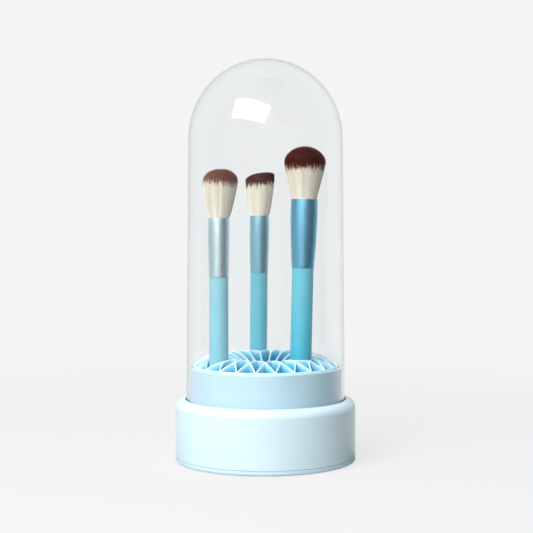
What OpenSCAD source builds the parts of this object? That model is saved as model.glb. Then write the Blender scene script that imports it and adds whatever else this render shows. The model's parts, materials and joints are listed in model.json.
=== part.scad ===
// Electric spin brush cleaner: base with a geared drive, wash bowl, petal rack and clear dust dome.
// Millimetres, +Z up, origin at the centre of the base on the table. The back (ports) faces +Y.

/* [Base] */
// Outer diameter of the base
base_d = 112; // [111:0.5:116]
// Height of the base up to the top of its lip
base_h = 39; // [38:0.5:44]
// Wall thickness of the moulded shells
wall = 2.5; // [2:0.1:2.8]
// Radius of the rounded shoulder around the lip
shoulder_r = 5.5; // [3:0.1:5.6]
// Diameter of the well that takes the dome and the bowl
well_d = 100; // [99.6:0.2:100.4]

/* [Dome] */
// Outer diameter of the dome at its open end
dome_d = 98.8; // [98:0.2:99]
// Outer diameter of the dome where its crown starts
dome_neck_d = 95.6; // [95:0.2:97]
// Wall thickness of the dome
dome_wall = 1.2; // [1:0.1:1.6]
// Height of the dome's crown
crown_h = 49.6; // [46:0.2:54]
// Height above the table at which the crown starts
crown_z = 199.8; // [196:1:204]

/* [Bowl and pad] */
// Outer diameter of the wash bowl
bowl_d = 95; // [94:0.2:95.2]
// Height of the bowl's rim above the table
bowl_rim_z = 59; // [56:0.5:60]
// Number of petals in the grip pad
petals = 24; // [24:4:28]
// Thickness of the pad's walls
fin_t = 1; // [0.8:0.1:1.4]
// Highest point of the pad above the table
pad_crest_z = 65.8; // [62:0.1:66]

/* [Brushes] */
// Handle diameter of the left, middle and right brush
handle_d = [11.5, 11.2, 13];
// Height of the lower end of each ferrule
ferrule_low_z = [115.8, 115.7, 121.3];
// Height of the upper end of each ferrule
ferrule_high_z = [152.2, 152.3, 162.7];
// Diameter of each ferrule at its lower end
ferrule_low_d = [11.9, 11.5, 13.5];
// Diameter of each ferrule at its widest
ferrule_high_d = [12.9, 12.6, 16.3];
// Largest diameter of each tuft
tuft_d = [21.5, 19.3, 25.5];
// Height of the widest part of each tuft
tuft_wide_z = [172, 174.4, 184.3];
// Height of each tuft's tip
tip_z = [181.2, 180.2, 194.9];

/* [Drive] */
// Teeth on the motor pinion
pinion_teeth = 10; // [10:1:11]
// Teeth on the large wheel of the compound gear
wheel_teeth = 46; // [45:1:46]
// Teeth on the small wheel of the compound gear
idler_teeth = 12; // [12:1:13]
// Teeth on the output gear
output_teeth = 48; // [46:2:48]
// Backlash of each gear pair at the pitch circle
backlash = 0.22; // [0.15:0.01:0.3]

/* [Hidden] */

$fn = 64;
EPS = 0.01;
TALL = 400;

base_r = base_d / 2;
well_r = well_d / 2;
housing_low_z = 3.6;     // lower edge of the housing, just above the cover's rim
inner_r = base_r - wall; // inside of the outer wall
deck_z = 24.2;           // top of the deck inside the well
deck_low_z = 21.8;       // underside of the deck
ledge_z = 28;            // the dome stands on this ledge
dome_gap = 0.6;          // radial play between dome and lip, and between bowl and ledge
ledge_r = bowl_d / 2 + dome_gap;
tower_r = 9.5;           // bearing tower in the middle of the deck
tower_z = 29.5;
bearing_r = 6;
bearing_low_z = 20.6;
bearing_h = 4;
seal_h = 3;
shaft_r = 3;
run_gap = 0.04;          // radial play of a shaft that turns in a bush
bush_r = 4;
bush_low_z = 6.4;

cover_low_z = 0.6;
cover_high_z = 3.4;
screw_ring_r = 47;
cover_screw_r = 1.2;
plate_screw_r = 0.9;
foot_r = 5.6;

// gear train: output on the centre line, compound gear and motor in line towards -X
gear_m = 0.6;            // module
idler_x = -gear_m * (output_teeth + idler_teeth) / 2;
motor_x = idler_x - gear_m * (wheel_teeth + pinion_teeth) / 2;
stage_one_z = 17;
stage_two_z = 11.8;
gear_h = 3;
idler_axle_r = 1.25;
seat_gap = 0.02;         // a fixed pin or bush in its seat
axle_low_z = 7.65;
axle_seat_z = 23.4;      // blind end of the axle's seat in the deck
plate_low_z = 8;
plate_h = 1.8;
idler_boss_low_z = 7.6;  // clear of the motor's cup
idler_boss_high_z = 11.3;
plate_posts = [[20, 0], [-16, 20], [-16, -20]];
motor_r = 12.2;
motor_low_z = 4.2;
motor_h = 12.3;
motor_shaft_r = 1;

hub_flat = 9;            // across the flats of the hexagonal hub
hub_low_z = 29.9;
hub_high_z = 36;
hub_gap = 0.15;

bowl_r = bowl_d / 2;
bowl_low_z = 25;
bowl_floor_z = 27.4;
bowl_wall = 1.8;
bowl_step_z = 38.8;      // the rack stands on this step
bowl_step_r = 42.8;
boss_r = 12.5;
mat_h = 1.8;
nub_h = 2.6;

rack_h = 1.6;
rack_z = bowl_step_z + 0.05;
pad_gap = 0.4;
pad_r = bowl_r - bowl_wall - pad_gap;
pad_low_z = rack_z + rack_h;
pad_floor_z = pad_low_z + 1.2;
pitch = 360 / petals;
well_in_r = 8;           // open middle of the pad
fin_end_r = 28;          // fins run out to here
arm_r = 36;              // apex of each petal
rim_r = pad_r - 0.2;     // outer ends of the arms

foot_z = pad_floor_z + 0.3;
pocket_gap = 0.3;
// where each brush meets the pad, and how far it leans over 100 mm of height
brush_xy = [[-28.2, -21.5], [-4.7, 35.6], [21.2, -21.3]];
lean_xy = [[0, 1.35], [0.8, -0.5], [2.2, 1.7]];
lean_from_z = 60;

cell_at = [34.5, 0, 11.4];
cell_r = 7;
cell_end_y = 24.5;       // half the cell's length

lead_r = 0.55;
pcb_y = 45.5;
pcb_t = 1.6;
port_z = 9;
button_z = 16;
button_r = 4.4;
lens_x = 10;

icy = [0.88, 0.95, 0.98];
pale_blue = [0.76, 0.89, 0.95];
turquoise = [0.42, 0.80, 0.88];
steel = [0.72, 0.74, 0.76];
dark = [0.16, 0.17, 0.18];

// ---- shared shapes ----

// A ring between two radii and two heights.
module ring(r_out, r_in, low, high) {
    translate([0, 0, low]) difference() {
        cylinder(r = r_out, h = high - low);
        translate([0, 0, -1]) cylinder(r = r_in, h = high - low + 2);
    }
}

// Points of an arc in the profile plane.
function arc(x, z, r, from, to, n = 10) =
    [for (i = [0:n]) let (t = from + (to - from) * i / n) [x + r * cos(t), z + r * sin(t)]];

// A hexagonal prism, flat across its sides.
module hexagon(flat, h) {
    cylinder(r = flat / 2 / cos(30), h = h, $fn = 6);
}

// Four places on the diagonals, at radius r.
module on_diagonals(r) {
    for (a = [45:90:315]) rotate(a) translate([r, 0, 0]) rotate(-a) children();
}

// A polygon with every side moved inwards by d; its points run anticlockwise.
function inset(p, d) =
    [for (i = [0:len(p) - 1])
        let (
            before = p[(i + len(p) - 1) % len(p)],
            here = p[i],
            after = p[(i + 1) % len(p)],
            u = (here - before) / norm(here - before),
            v = (after - here) / norm(after - here)
        )
        here + [-u[1] - v[1], u[0] + v[0]] * d / (1 + u * v)];

function polar(r, a) = [r * cos(a), r * sin(a)];

// A tube of radius r along points, as one closed surface with flat ends.
module tube(points, r, sides = 8) {
    n = len(points);
    function way(i) = points[min(i + 1, n - 1)] - points[max(i - 1, 0)];
    rings = [for (i = [0:n - 1])
        let (
            t = way(i) / norm(way(i)),
            across = cross(t, [0.31, 0.17, 0.94]),
            a = across / norm(across),
            b = cross(t, a)
        )
        for (k = [0:sides - 1])
            points[i] + r * (a * cos(360 * k / sides) + b * sin(360 * k / sides))];
    walls = [for (i = [0:n - 2], k = [0:sides - 1])
        let (next = (k + 1) % sides)
        [i * sides + k, (i + 1) * sides + k, (i + 1) * sides + next, i * sides + next]];
    low = [[for (k = [0:sides - 1]) k]];
    high = [[for (k = [sides - 1:-1:0]) (n - 1) * sides + k]];
    polyhedron(points = rings, faces = concat(walls, low, high), convexity = 6);
}

// A smooth curve through every point of a hand-chosen route, n steps to a stretch.
function smooth(p, n = 4) =
    let (last = len(p) - 1)
    concat([for (i = [0:last - 1], k = [0:n - 1])
        let (
            t = k / n,
            a = p[max(i - 1, 0)],
            b = p[i],
            c = p[i + 1],
            d = p[min(i + 2, last)]
        )
        0.5 * (
            2 * b + (c - a) * t
            + (2 * a - 5 * b + 4 * c - d) * t * t
            + (3 * b - a - 3 * c + d) * t * t * t
        )
    ], [p[last]]);

// ---- gears ----

PRESSURE = 25;
ADDENDUM = 0.8;
DEDENDUM = 1.1;

function involute_angle(base, r) =
    let (s = sqrt(max(0, (r / base) * (r / base) - 1))) s * 180 / PI - atan(s);

// Half of one tooth's angle at radius r, thinned by the backlash.
function half_tooth(teeth, r) =
    let (
        pitch_r = gear_m * teeth / 2,
        base = pitch_r * cos(PRESSURE),
        half = 90 / teeth - backlash / 4 / pitch_r * 180 / PI
    )
    half + involute_angle(base, pitch_r) - involute_angle(base, max(r, base));

// One point list for a whole spur gear, with a tooth centred on angle 0.
function gear_points(teeth) =
    let (
        pitch_r = gear_m * teeth / 2,
        base = pitch_r * cos(PRESSURE),
        root = pitch_r - DEDENDUM * gear_m,
        tip = pitch_r + ADDENDUM * gear_m,
        start = max(root, base),
        radii = [root, start, start + (tip - start) * 0.33, start + (tip - start) * 0.67, tip]
    )
    [for (k = [0:teeth - 1])
        let (mid = 360 * k / teeth)
        each concat(
            [for (r = radii) polar(r, mid - half_tooth(teeth, r))],
            [for (i = [len(radii) - 1:-1:0]) polar(radii[i], mid + half_tooth(teeth, radii[i]))]
        )];

module spur_gear(teeth, h, turn = 0) {
    rotate(turn) linear_extrude(h) polygon(gear_points(teeth));
}

// ---- base ----

// Outer skin of the base as a profile: rounded lip, straight side.
module housing_profile() {
    lip_t = base_r - well_r;
    lip_in_r = lip_t - shoulder_r;
    polygon(concat(
        [[0, housing_low_z], [base_r, housing_low_z]],
        arc(base_r - shoulder_r, base_h - shoulder_r, shoulder_r, 0, 90, 12),
        arc(well_r + lip_in_r, base_h - lip_in_r, lip_in_r, 90, 180, 5),
        [[well_r, ledge_z], [ledge_r, ledge_z], [ledge_r, deck_z], [tower_r + 1, deck_z]],
        [[tower_r, deck_z + 1], [tower_r, tower_z], [0, tower_z]]
    ));
}

// Everything hollow inside the base, below the deck and inside the lip.
module housing_hollow() {
    lip_slot_r = base_r - wall - 1.6;
    difference() {
        union() {
            translate([0, 0, -1]) cylinder(r = inner_r, h = deck_low_z + 1);
            ring(inner_r, lip_slot_r, deck_low_z - 1, base_h - shoulder_r - 1.5);
        }
        // screw posts for the cover, plate posts, bearing sleeve and axle boss
        on_diagonals(screw_ring_r) translate([0, 0, housing_low_z]) cylinder(r = 3.4, h = TALL);
        for (p = plate_posts) translate([p[0], p[1], plate_low_z + plate_h]) cylinder(r = 2.6, h = TALL);
        translate([0, 0, bearing_low_z]) cylinder(r = bearing_r + 2, h = TALL);
        translate([idler_x, 0, deck_low_z - 0.8]) cylinder(r = 2.6, h = TALL);
    }
}

module base_housing() {
    color(icy) difference() {
        rotate_extrude($fn = 128) housing_profile();
        housing_hollow();
        // bearing seat from below, shaft way, seal seat from above
        translate([0, 0, bearing_low_z - 1]) cylinder(r = bearing_r, h = bearing_h + 1);
        translate([0, 0, bearing_low_z]) cylinder(r = 4.4, h = TALL);
        translate([0, 0, tower_z - seal_h]) cylinder(r = 5.6, h = TALL);
        translate([idler_x, 0, plate_low_z])
            cylinder(r = idler_axle_r + seat_gap, h = axle_seat_z - plate_low_z);
        on_diagonals(screw_ring_r) cylinder(r = cover_screw_r + 0.05, h = 12);
        for (p = plate_posts) translate(p) cylinder(r = plate_screw_r + 0.05, h = 17);
        // charging port
        translate([0, inner_r - 3, port_z]) rotate([-90, 0, 0]) linear_extrude(8) port_outline(0.35);
        translate([0, base_r - 1.1, port_z]) rotate([-90, 0, 0]) linear_extrude(3) port_outline(1.4);
        // button and status lens
        translate([0, inner_r - 3, button_z]) rotate([-90, 0, 0]) cylinder(r = button_r + 0.3, h = 8);
        translate([lens_x, inner_r - 3, button_z]) rotate([-90, 0, 0]) cylinder(r = 1.2, h = 8);
    }
}

// Rounded outline of the charging socket, grown by g.
module port_outline(g = 0) {
    half_w = 4.5 - 1.6;
    for (s = [-1, 1]) translate([s * half_w, 0]) circle(r = 1.6 + g);
    square([2 * half_w, 2 * (1.6 + g)], center = true);
}

module bottom_cover() {
    color(pale_blue) difference() {
        union() {
            rotate_extrude($fn = 128) polygon(concat(
                [[0, cover_low_z], [base_r - 0.9, cover_low_z]],
                arc(base_r - 0.9, cover_low_z + 0.9, 0.9, -90, 0, 6),
                [[base_r, cover_high_z], [0, cover_high_z]]
            ));
            // spigot that centres the housing, and the motor's cup
            ring(inner_r - 0.2, inner_r - 1.8, cover_high_z - EPS, 6);
            translate([motor_x, 0, 0]) ring(motor_r + 3, motor_r + 1.5, cover_high_z - EPS, 7.4);
        }
        translate([motor_x, 0, cover_high_z]) lead_notch();
        on_diagonals(screw_ring_r) {
            translate([0, 0, -1]) cylinder(r = 1.4, h = 20);
            translate([0, 0, -1]) cylinder(r = 2.7, h = 3.2);
            translate([0, 0, -1]) cylinder(r = foot_r + 0.15, h = 1.9);
            translate([0, 0, cover_high_z]) cylinder(r = 3.7, h = 20);
        }
    }
}

module foot_pads() {
    color(dark) on_diagonals(screw_ring_r) rotate_extrude() polygon(concat(
        [[0, 0], [foot_r - 0.5, 0]],
        arc(foot_r - 0.5, 0.5, 0.5, -90, 0, 5),
        [[foot_r, 0.85], [0, 0.85]]
    ));
}

// Pan-head screw, head down, with a cross recess; z is the seat of its head.
module pan_screw(seat_z, head_r, head_h, shank_r, length) {
    difference() {
        union() {
            translate([0, 0, seat_z - head_h]) cylinder(r = head_r, h = head_h);
            translate([0, 0, seat_z - EPS]) cylinder(r = shank_r, h = length);
        }
        for (a = [0, 90]) rotate(a)
            translate([-head_r * 0.65, -0.3, seat_z - head_h - 1]) cube([head_r * 1.3, 0.6, 1.6]);
    }
}

module cover_screws() {
    color(steel) on_diagonals(screw_ring_r) pan_screw(2.2, 2 * cover_screw_r, 1.2, cover_screw_r, 8.4);
}

module gear_plate() {
    color([0.9, 0.9, 0.88]) difference() {
        union() {
            translate([0, 0, plate_low_z]) linear_extrude(plate_h) {
                circle(r = 8);
                translate([idler_x, 0]) circle(r = 7);
                translate([-9, 0]) square([18, 12], center = true);
                translate([10, 0]) square([20, 7], center = true);
                for (s = [-1, 1]) translate([-9.5, s * 10]) square([14, 21], center = true);
                for (p = plate_posts) translate(p) circle(r = 3.4);
            }
            translate([0, 0, bush_low_z]) cylinder(r = bush_r + 1, h = 2);
            translate([idler_x, 0, idler_boss_low_z])
                cylinder(r = 3, h = idler_boss_high_z - idler_boss_low_z);
        }
        cylinder(r = bush_r, h = 20);
        translate([idler_x, 0, plate_low_z - 2]) cylinder(r = idler_axle_r + seat_gap, h = 20);
        for (p = plate_posts) translate(p) cylinder(r = plate_screw_r + 0.25, h = 20);
        translate([motor_x, 0, 0]) cylinder(r = motor_r + 1.4, h = 20);
    }
}

module plate_screws() {
    color(steel) for (p = plate_posts) translate(p) pan_screw(plate_low_z, 2, 1, plate_screw_r, 8);
}

module idler_axle() {
    color(steel) translate([idler_x, 0, axle_low_z])
        cylinder(r = idler_axle_r, h = axle_seat_z - 0.3 - axle_low_z);
}

module upper_bearing() {
    color(steel) translate([0, 0, bearing_low_z]) difference() {
        cylinder(r = bearing_r - 0.01, h = bearing_h - 0.02);
        translate([0, 0, -1]) cylinder(r = shaft_r + run_gap, h = 10);
        // the shields sit a little below the races
        for (z = [-1, bearing_h - 0.32]) translate([0, 0, z]) ring(5.3, 3.8, 0, 1.3);
    }
}

module lower_bush() {
    flange_z = plate_low_z + plate_h;
    color([0.72, 0.5, 0.25]) {
        ring(bush_r - seat_gap, shaft_r + run_gap, bush_low_z, flange_z + EPS);
        ring(bush_r + 1.2, shaft_r + run_gap, flange_z, flange_z + 0.8);
    }
}

module shaft_seal() {
    color(dark) rotate_extrude() translate([0, tower_z - seal_h]) polygon([
        [shaft_r + run_gap, 1.2], [shaft_r + 0.6, 0.2], [4.4, 0.02], [5.58, 0.02],
        [5.58, seal_h - 0.1], [4.6, seal_h - 0.1], [4.2, seal_h - 0.9],
        [shaft_r + 0.5, seal_h - 1], [shaft_r + run_gap, 1.6]
    ]);
}

// ---- motor ----

module motor_can() {
    top_z = motor_low_z + motor_h;
    color(steel) translate([motor_x, 0, 0]) difference() {
        union() {
            rotate_extrude() polygon(concat(
                [[0, motor_low_z + 0.8], [motor_r, motor_low_z + 0.8]],
                arc(motor_r - 1, top_z - 1, 1, 0, 90, 6),
                [[0, top_z]]
            ));
            translate([0, 0, top_z - EPS]) cylinder(r = 2.2, h = 0.4);
        }
        translate([0, 0, motor_low_z - 1]) cylinder(r = motor_r - 0.6, h = motor_h + 0.3);
        translate([0, 0, motor_low_z - 1]) cylinder(r = motor_shaft_r + run_gap, h = 30);
        for (a = [60:60:300]) rotate(a) translate([6.5, 0, top_z - 2]) cylinder(r = 1.1, h = 4);
    }
}

module motor_end_cap() {
    color(dark) translate([motor_x, 0, 0]) difference() {
        union() {
            translate([0, 0, motor_low_z - 0.4]) cylinder(r = motor_r - 0.3, h = 1.2);
            translate([0, 0, motor_low_z]) cylinder(r = motor_r - 0.65, h = 1.6);
            for (s = [-1, 1]) translate([0.9 + s * 1.5, 8, motor_low_z]) cube([1.4, 6.2, 0.5]);
        }
        translate([0, 0, motor_low_z - 2]) cylinder(r = motor_shaft_r + run_gap, h = 10);
    }
}

module motor_magnets() {
    color([0.25, 0.25, 0.27]) translate([motor_x, 0, 0])
        ring(motor_r - 0.62, 9.3, motor_low_z + 2.2, motor_low_z + 11);
}

module motor_sleeve() {
    color(dark) translate([motor_x, 0, 0]) difference() {
        ring(motor_r + 1.3, motor_r + seat_gap, motor_low_z + 0.9, stage_two_z - 0.4);
        lead_notch();
    }
}

// Slot through the motor's cup and sleeve for its terminals and leads.
module lead_notch() {
    translate([-2.6, 8, 0]) cube([8.4, 12, 7.2]);
}

module motor_shaft() {
    color(steel) translate([motor_x, 0, motor_low_z - 0.2])
        cylinder(r = motor_shaft_r, h = stage_one_z + gear_h + 0.4 - motor_low_z);
}

// Three-pole armature with its windings.
module motor_armature() {
    color([0.72, 0.36, 0.18]) translate([motor_x, 0, motor_low_z + 3]) difference() {
        union() {
            cylinder(r = 3.6, h = 7);
            for (a = [0:120:240]) rotate(a) {
                translate([0, -1.6, 0.6]) cube([7.5, 3.2, 5.8]);
                translate([3, -3, 1.2]) cube([3.6, 6, 4.6]);
                intersection() {
                    ring(8.7, 7.2, 0.4, 6.6);
                    translate([0, 0, -1]) linear_extrude(10) polygon([[0, 0], [12, -8.5], [12, 8.5]]);
                }
            }
        }
        translate([0, 0, -1]) cylinder(r = motor_shaft_r + 0.01, h = 20);
    }
}

module motor_pinion() {
    color([0.95, 0.93, 0.86]) translate([motor_x, 0, stage_one_z]) difference() {
        // a gap of the pinion faces the wheel
        spur_gear(pinion_teeth, gear_h, 180 / pinion_teeth);
        translate([0, 0, -1]) cylinder(r = motor_shaft_r + 0.01, h = 20);
    }
}

module compound_gear() {
    color([0.95, 0.93, 0.86]) translate([idler_x, 0, 0]) difference() {
        union() {
            // the wheel has a tooth towards the pinion at 180 degrees
            translate([0, 0, stage_one_z]) spur_gear(wheel_teeth, gear_h, 180);
            // the small wheel has a tooth towards the output gear at 0 degrees
            translate([0, 0, stage_two_z]) spur_gear(idler_teeth, stage_one_z - stage_two_z + EPS);
            translate([0, 0, stage_one_z + gear_h - EPS]) cylinder(r = 3, h = 0.6);
        }
        translate([0, 0, -1]) cylinder(r = idler_axle_r + run_gap, h = 40);
        for (a = [0:60:300]) rotate(a + 30)
            translate([9.4, 0, stage_one_z - 1]) cylinder(r = 2.4, h = 10);
    }
}

// ---- spindle ----

module drive_shaft() {
    color(steel) rotate_extrude() polygon([
        [0, 4.6], [shaft_r - 0.4, 4.6], [shaft_r, 5], [shaft_r, 5.4], [2.4, 5.4], [2.4, 6.1],
        [shaft_r, 6.1], [shaft_r, hub_high_z - 1.4], [shaft_r - 0.4, hub_high_z - 1], [0, hub_high_z - 1]
    ]);
}

module shaft_clip() {
    color(steel) translate([0, 0, 5.45]) difference() {
        cylinder(r = 4.6, h = 0.6);
        translate([0, 0, -1]) cylinder(r = 2.42, h = 3);
        translate([0, -1.5, -1]) cube([10, 3, 3]);
    }
}

module output_gear() {
    color([0.95, 0.93, 0.86]) difference() {
        union() {
            // a gap of the output gear faces the compound gear at 180 degrees
            translate([0, 0, stage_two_z]) spur_gear(output_teeth, gear_h + 0.6, 180 / output_teeth);
            translate([0, 0, plate_low_z + plate_h + 1]) cylinder(r = 5, h = 6);
        }
        translate([0, 0, -1]) cylinder(r = shaft_r + 0.01, h = 40);
        for (a = [0:60:300]) rotate(a) translate([9.6, 0, 0]) cylinder(r = 2.3, h = 40);
    }
}

module drive_hub() {
    color(pale_blue) difference() {
        union() {
            translate([0, 0, hub_low_z]) cylinder(r = 8, h = 1);
            translate([0, 0, hub_low_z]) hexagon(hub_flat, hub_high_z - hub_low_z);
        }
        translate([0, 0, 0]) cylinder(r = shaft_r + 0.01, h = hub_high_z - 0.9);
    }
}

// ---- power and control ----

module battery_cell() {
    color([0.25, 0.5, 0.72]) translate(cell_at) rotate([90, 0, 0]) {
        translate([0, 0, -cell_end_y]) cylinder(r = cell_r, h = 2 * cell_end_y - 0.5);
        translate([0, 0, cell_end_y - 0.5 - EPS]) cylinder(r = 2.8, h = 1.2);
        // welded tabs at both ends
        translate([-2, -3, cell_end_y + 0.69]) cube([4, 6, 0.2]);
        translate([-2, -3, -cell_end_y - 0.2]) cube([4, 6, 0.21]);
    }
}

// Open saddle that holds the cell off the cover.
module battery_cradle() {
    color([0.9, 0.9, 0.88]) difference() {
        for (y = [-15, 15]) translate([cell_at[0] - 7.6, y - 2, cover_high_z]) cube([15.2, 4, 9]);
        translate(cell_at) rotate([90, 0, 0]) cylinder(r = cell_r + seat_gap, h = 80, center = true);
        translate([cell_at[0] - 6.6, -40, cell_at[2]]) cube([13.2, 80, 20]);
    }
}

module circuit_board() {
    color([0.1, 0.4, 0.25]) difference() {
        translate([-17, pcb_y, 4.4]) cube([34, pcb_t, 16]);
        for (x = [-14.5, 14.5]) translate([x, pcb_y - 1, 18]) rotate([-90, 0, 0]) cylinder(r = 1.1, h = 5);
    }
    // charger chip, driver chip, inductor and capacitors on the inner side
    color(dark) {
        translate([-9, pcb_y - 1.2, 8]) cube([5, 1.2 + EPS, 5]);
        translate([2, pcb_y - 1.2, 7]) cube([4, 1.2 + EPS, 4]);
        translate([9, pcb_y - 2.2, 9]) cube([4.4, 2.2 + EPS, 4.4]);
        for (x = [-14, 0, 7]) translate([x, pcb_y - 0.7, 14]) cube([2, 0.7 + EPS, 1.2]);
        // lamp behind the light pipe
        translate([lens_x - 0.8, pcb_y + pcb_t - EPS, button_z - 0.8]) cube([1.6, 0.8, 1.6]);
    }
}

module usb_socket() {
    color(steel) translate([0, pcb_y + pcb_t, port_z]) rotate([-90, 0, 0]) difference() {
        linear_extrude(6.2) port_outline();
        translate([0, 0, 1]) linear_extrude(8) port_outline(-0.3);
    }
    // contact tongue
    color(dark) translate([-3.2, pcb_y + pcb_t + 0.9, port_z - 0.35]) cube([6.4, 4.2, 0.7]);
}

module tact_switch() {
    color(dark) {
        translate([-3, pcb_y + pcb_t, button_z - 3]) cube([6, 2.9, 6]);
        translate([0, pcb_y + pcb_t + 2.9 - EPS, button_z]) rotate([-90, 0, 0]) cylinder(r = 1.7, h = 0.5);
    }
}

module power_button() {
    flange_y = 51.9;
    color([0.93, 0.97, 0.99]) difference() {
        union() {
            translate([0, flange_y, button_z]) rotate([-90, 0, 0]) cylinder(r = button_r + 0.9, h = 0.9);
            translate([0, flange_y, button_z]) rotate([-90, 0, 0]) cylinder(r = button_r, h = 3.9);
            translate([0, flange_y - 0.7, button_z]) rotate([-90, 0, 0]) cylinder(r = 1.6, h = 1);
        }
        // finger dish in the outer face
        translate([0, base_r + 12.5, button_z]) sphere(r = 13.2);
    }
}

module status_lens() {
    color([0.95, 0.97, 0.97, 0.7]) translate([lens_x, 0, button_z]) rotate([-90, 0, 0]) {
        translate([0, 0, 48.5]) cylinder(r = 1.15, h = 6.4);
        translate([0, 0, 48.3]) cylinder(r = 1.9, h = 1.2);
    }
}

// Leads run over the floor of the base to the circuit board.
module battery_leads() {
    color([0.8, 0.1, 0.1]) tube(smooth([
        [cell_at[0], -26, 11.4], [31, -29, 9], [25.5, -26, 5.6], [24.8, -10, 4.6], [24.8, 10, 4.6],
        [24, 26, 5], [20, 38, 6], [15.5, 44.8, 7]
    ]), lead_r);
    color(dark) tube(smooth([
        [cell_at[0], 26, 11.4], [32, 27.8, 9], [26, 32, 7.5], [20, 41, 8.5], [13.5, 44.8, 9]
    ]), lead_r);
}

module motor_leads() {
    for (s = [-1, 1]) color(s > 0 ? [0.8, 0.1, 0.1] : dark) tube(smooth([
        [motor_x + 1.6 + s * 1.5, 14.9, 5.3], [-32.5 + s, 22, 5.2], [-26.5 + s, 31, 5.4],
        [-19 + s * 0.9, 40, 7 + s * 0.4], [-14.5 + s, 44.8, 8]
    ]), lead_r);
}

// ---- bowl ----

module wash_bowl() {
    lip = 0.9;
    color(pale_blue) difference() {
        rotate_extrude($fn = 128) polygon(concat(
            [[0, bowl_low_z]],
            arc(bowl_r - 2, bowl_low_z + 2, 2, -90, 0, 6),
            arc(bowl_r - lip, bowl_rim_z - lip, lip, 0, 90, 6),
            arc(bowl_r - bowl_wall + 0.6, bowl_rim_z - 0.6, 0.6, 90, 180, 4),
            [[bowl_r - bowl_wall, bowl_step_z], [bowl_step_r, bowl_step_z]],
            arc(bowl_step_r - 3, bowl_floor_z + 3, 3, 0, -90, 8),
            [[boss_r + 1.5, bowl_floor_z], [boss_r, bowl_floor_z + 1.5], [boss_r - 2.4, 35.4]],
            arc(boss_r - 4, 36.4, 1.6, 0, 90, 5),
            [[0, 38]]
        ));
        // room for the bearing tower and the hub's flange, then the hexagonal socket
        translate([0, 0, bowl_low_z - 1])
            cylinder(r1 = tower_r + 0.8, r2 = tower_r + 0.5, h = hub_low_z + 2 - bowl_low_z);
        translate([0, 0, bowl_low_z]) hexagon(hub_flat + 2 * hub_gap, hub_high_z + 0.4 - bowl_low_z);
    }
}

// Silicone mat with rings of nubs for swirling bristles against.
module scrub_mat() {
    color([0.55, 0.82, 0.9]) {
        ring(bowl_step_r - 3.4, boss_r + 1.8, bowl_floor_z, bowl_floor_z + mat_h);
        for (row = [0:4], k = [0:17 + 4 * row])
            rotate(360 * k / (18 + 4 * row)) translate([18 + 4.4 * row, 0, bowl_floor_z + mat_h - EPS])
                cylinder(r1 = 1.1, r2 = 0.6, h = nub_h);
    }
}

// ---- rack ----

module rack_plate() {
    color(icy) translate([0, 0, rack_z]) difference() {
        cylinder(r = pad_r, h = rack_h, $fn = 128);
        for (row = [0:2], k = [0:11 + 6 * row])
            rotate(360 * k / (12 + 6 * row) + 5) translate([15 + 9.5 * row, 0, -1]) cylinder(r = 1.6, h = 5);
    }
}

// Height of the pad's top over radius r: a bowl-shaped middle, a crest and a falling rim.
function pad_top(r) =
    let (crest_r = 33, sunk = 13, fall = 6.4)
    r < crest_r
        ? pad_crest_z - sunk * (1 - pow(sin(90 * r / crest_r), 1.6))
        : pad_crest_z - fall * pow((r - crest_r) / (pad_r - crest_r), 1.6);

function petal() = [
    polar(well_in_r, -pitch / 2), polar(fin_end_r, -pitch / 2), [arm_r, 0],
    polar(fin_end_r, pitch / 2), polar(well_in_r, pitch / 2)
];
function diamond() = [[fin_end_r, 0], polar(arm_r, -pitch / 2), [rim_r, 0], polar(arm_r, pitch / 2)];
function rim_cell() = [[arm_r, 0], polar(rim_r, -pitch / 2), polar(rim_r, pitch / 2)];

module grip_pad() {
    steps = 24;
    color(pale_blue) difference() {
        rotate_extrude($fn = 128) polygon(concat(
            [[0, pad_low_z], [pad_r, pad_low_z]],
            [for (i = [steps:-1:0]) [pad_r * i / steps, pad_top(pad_r * i / steps)]]
        ));
        translate([0, 0, pad_floor_z]) linear_extrude(40) circle(r = well_in_r - fin_t);
        for (k = [0:petals - 1]) rotate(pitch * k) translate([0, 0, pad_floor_z]) {
            linear_extrude(40) polygon(inset(petal(), fin_t / 2));
            linear_extrude(40) polygon(inset(rim_cell(), fin_t / 2));
            rotate(pitch / 2) linear_extrude(40) polygon(inset(diamond(), fin_t / 2));
        }
        for (i = [0:2]) on_brush(i)
            translate([0, 0, -pocket_gap]) cylinder(r = handle_d[i] / 2 + pocket_gap, h = 60);
    }
}

// ---- brushes ----

// Brush i stands upright at the origin, its foot at z = 0, then leans into its place.
module on_brush(i) {
    lean = [lean_xy[i][0] / 100, lean_xy[i][1] / 100, 1];
    foot = [brush_xy[i][0], brush_xy[i][1], 0] + lean * (foot_z - lean_from_z);
    towards = atan2(lean[1], lean[0]);
    translate([foot[0], foot[1], foot_z])
        rotate([0, acos(1 / norm(lean)), towards]) rotate(-towards) children();
}

module handle(i) {
    r = handle_d[i] / 2;
    top = ferrule_low_z[i] - foot_z;
    color(turquoise) on_brush(i) rotate_extrude() polygon(concat(
        [[0, 0]],
        arc(r - 2, 2, 2, -90, 0, 8),
        [[r, top - 0.1], [r - 0.8, top - 0.1], [r - 0.8, top + 14], [r - 1.4, top + 15], [0, top + 15]]
    ));
}

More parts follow.
